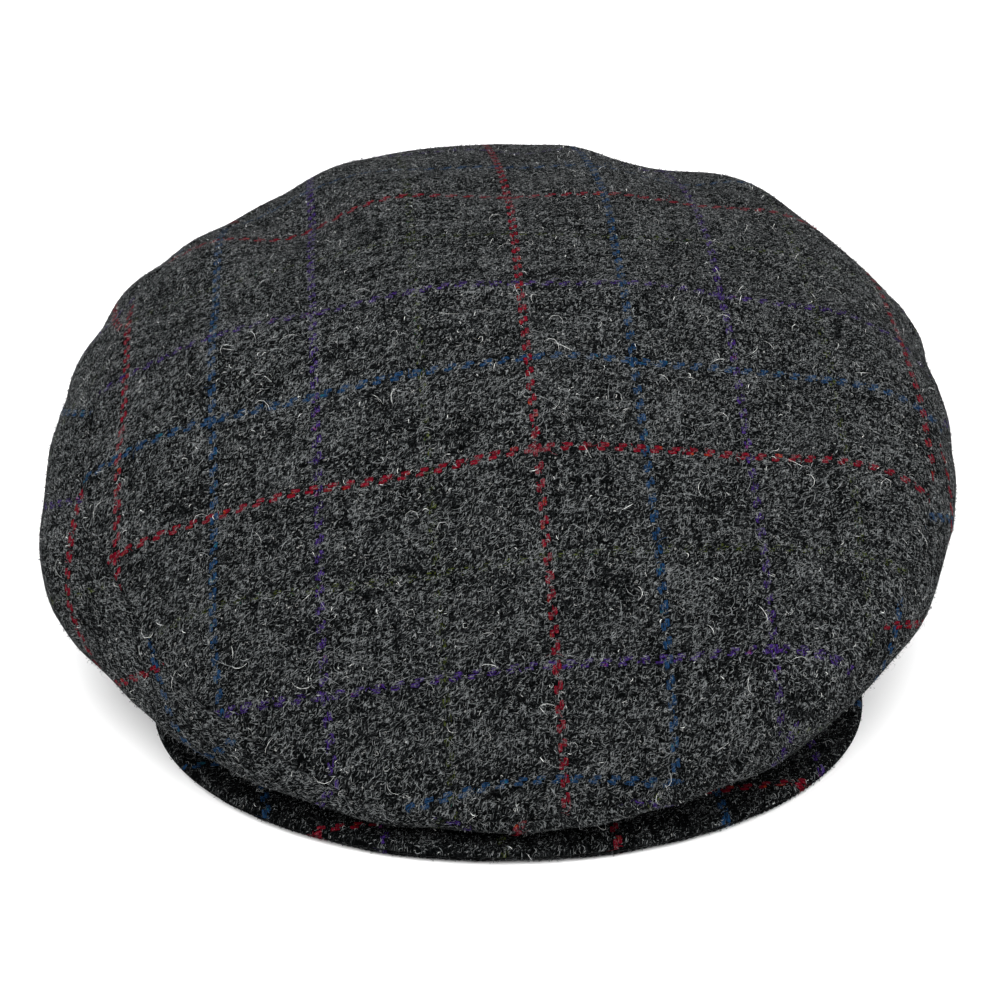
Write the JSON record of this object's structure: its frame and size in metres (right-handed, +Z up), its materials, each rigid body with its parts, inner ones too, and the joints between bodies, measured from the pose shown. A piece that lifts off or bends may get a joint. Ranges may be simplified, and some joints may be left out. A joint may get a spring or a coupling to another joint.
{
  "type": "flat cap",
  "caption": "Soft flat cap in dark checked wool tweed: a full one-piece top over two side panels that fold under at the front, on a short stiff peak.",
  "frame": {"origin": "on the resting plane, under the middle of the cap's box", "axes": "+Z up, -Y towards the tip of the peak, +X towards the wearer's left"},
  "size_m": [0.2454, 0.2508, 0.1031],
  "materials": {
    "tweed": "hairy wool twill in charcoal and grey, with a fine red, blue and purple overcheck",
    "tweed_underside": "the same wool twill, on the underside of the peak"
  },
  "bodies": {
    "root": {"crown_top": "tweed", "side_panel_left": "tweed", "side_panel_right": "tweed", "peak_top_cover": "tweed", "peak_under_cover": "tweed_underside"}
  },
  "joints": []
}
